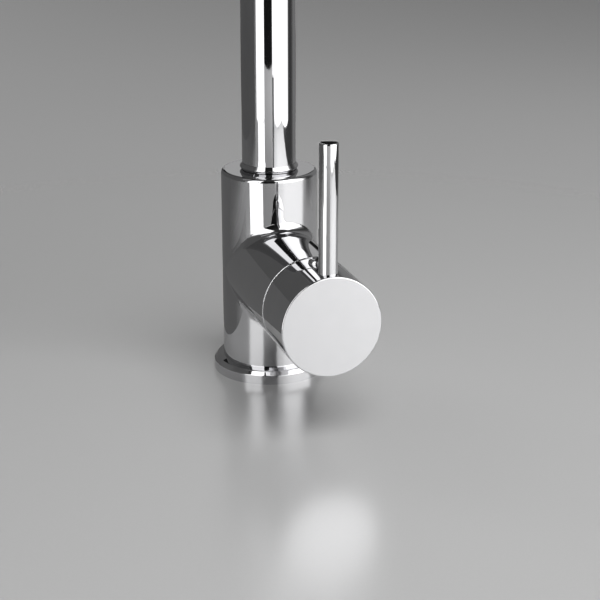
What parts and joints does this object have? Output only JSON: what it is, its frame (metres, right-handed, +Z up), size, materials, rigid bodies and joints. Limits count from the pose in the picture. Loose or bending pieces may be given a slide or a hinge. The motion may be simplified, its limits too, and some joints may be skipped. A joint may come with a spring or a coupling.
{
  "type": "kitchen sink mixer",
  "caption": "Deck-mounted single-lever sink mixer: upright round body, horizontal side cartridge housing with a pin lever, and a tall swivelling swan neck spout.",
  "frame": {"origin": "axis of the upright body at the level of the worktop, the underside of the base ring", "axes": "+Z up along the body and the spout's swivel axis, +X along the handle axis towards the lever, the spout reaches towards -Y, where the user stands"},
  "size_m": [0.1328, 0.2242, 0.369],
  "materials": {
    "polished_chrome": "mirror polished chrome plate",
    "raw_brass": "machined brass",
    "stainless_steel": "turned stainless steel",
    "black_rubber": "moulded rubber",
    "cartridge_plastic": "moulded acetal",
    "slider_plastic": "moulded acetal",
    "disc_ceramic": "lapped ceramic",
    "jet_plastic": "moulded plastic"
  },
  "bodies": {
    "mixer": {"mixer_body": "polished_chrome", "base_ring": "polished_chrome", "base_gasket": "black_rubber", "cartridge_base": "cartridge_plastic", "port_seals": "black_rubber", "cartridge_shell": "cartridge_plastic", "fixed_disc": "disc_ceramic", "cartridge_nut": "raw_brass", "spout_bearing": "cartridge_plastic", "spout_lock_screw": "stainless_steel"},
    "carrier": {"cartridge_carrier": "slider_plastic", "tilt_pin": "stainless_steel"},
    "slider": {"disc_slider": "slider_plastic", "moving_disc": "disc_ceramic"},
    "handle": {"handle_stem": "stainless_steel", "handle_cap": "polished_chrome", "lever_rod": "polished_chrome", "grub_screw": "stainless_steel", "grub_plug": "polished_chrome"},
    "spout": {"spout_tube": "polished_chrome", "spout_collar": "polished_chrome", "spout_ferrule": "raw_brass", "spout_seals": "black_rubber", "aerator_housing": "polished_chrome", "aerator_insert": "jet_plastic", "aerator_seal": "black_rubber"}
  },
  "joints": [
    {"name": "spout_swivel", "type": "hinge", "parent": "mixer", "child": "spout", "pos_m": [0, 0, 0.1095], "axis": [0, 0, 1], "continuous": true},
    {"name": "handle_turn", "type": "hinge", "parent": "mixer", "child": "carrier", "pos_m": [0.0454, 0, 0.057], "axis": [1, 0, 0], "range_deg": [-50, 50]},
    {"name": "handle_tilt", "type": "hinge", "parent": "carrier", "child": "handle", "pos_m": [0.0454, 0, 0.057], "axis": [0, 1, 0], "range_deg": [0, 20]},
    {"name": "flow_slide", "type": "slide", "parent": "carrier", "child": "slider", "axis": [0, 0, 1], "range_m": [0, 0.0035]}
  ],
  "couplings": [
    {"joint": "flow_slide", "follows": "handle_tilt", "m_per_rad": 0.0098}
  ]
}
